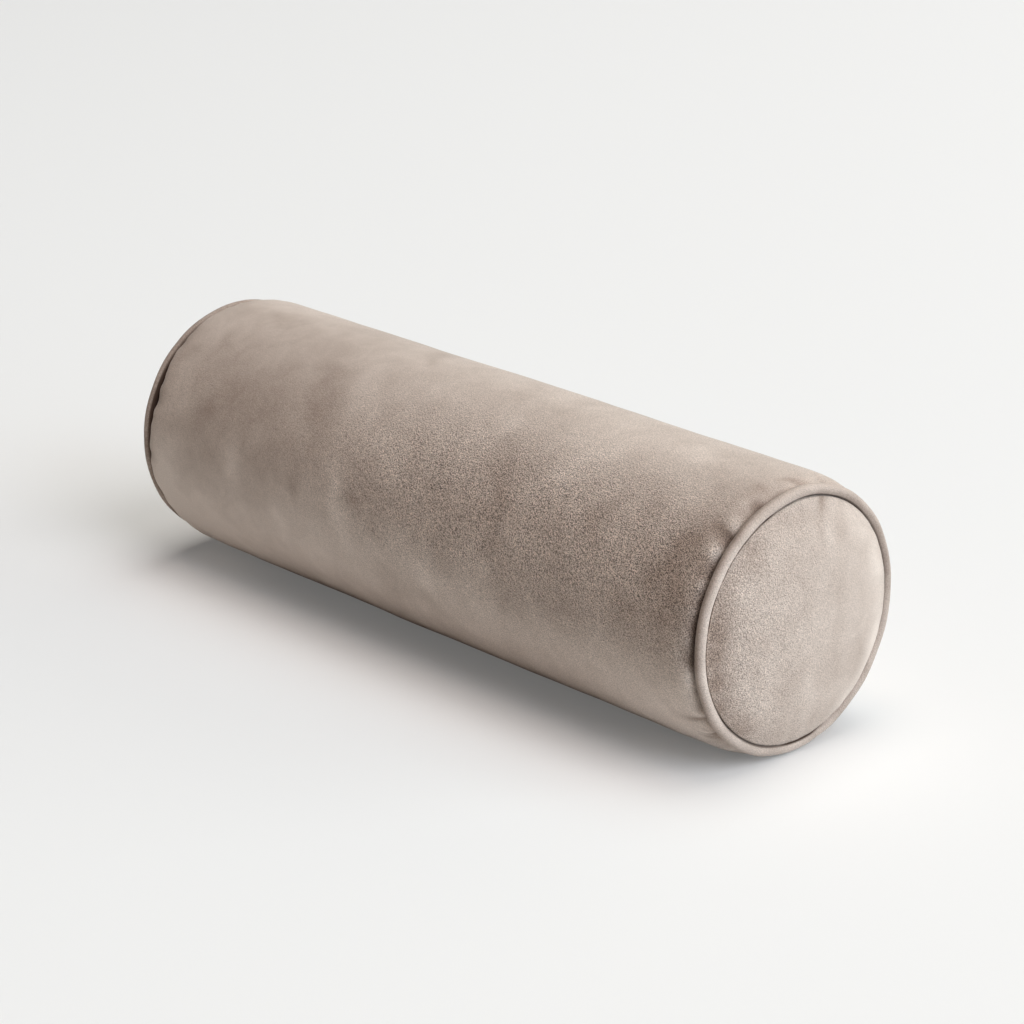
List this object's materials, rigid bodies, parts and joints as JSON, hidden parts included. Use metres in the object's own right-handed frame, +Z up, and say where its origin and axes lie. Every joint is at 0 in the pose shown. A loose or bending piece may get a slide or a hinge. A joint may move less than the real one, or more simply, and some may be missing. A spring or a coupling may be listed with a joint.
{
  "type": "bolster cushion",
  "caption": "Round bolster in suede cloth: a filled body drawn in at its seams, a covered cord round each end and a crowned end panel.",
  "frame": {"origin": "under the middle of the bolster, on the surface that it rests on", "axes": "+X along the bolster to its near end, the one that the picture shows; +Z up"},
  "size_m": [0.4764, 0.1498, 0.1481],
  "materials": {
    "cover_cloth": "taupe suede cloth with a short mottled nap",
    "piping_cloth": "the same suede cloth cut on the bias and drawn over a cord"
  },
  "bodies": {
    "root": {"barrel": "cover_cloth", "end_panel_near": "cover_cloth", "end_panel_far": "cover_cloth", "piping_near": "piping_cloth", "piping_far": "piping_cloth"}
  },
  "joints": []
}
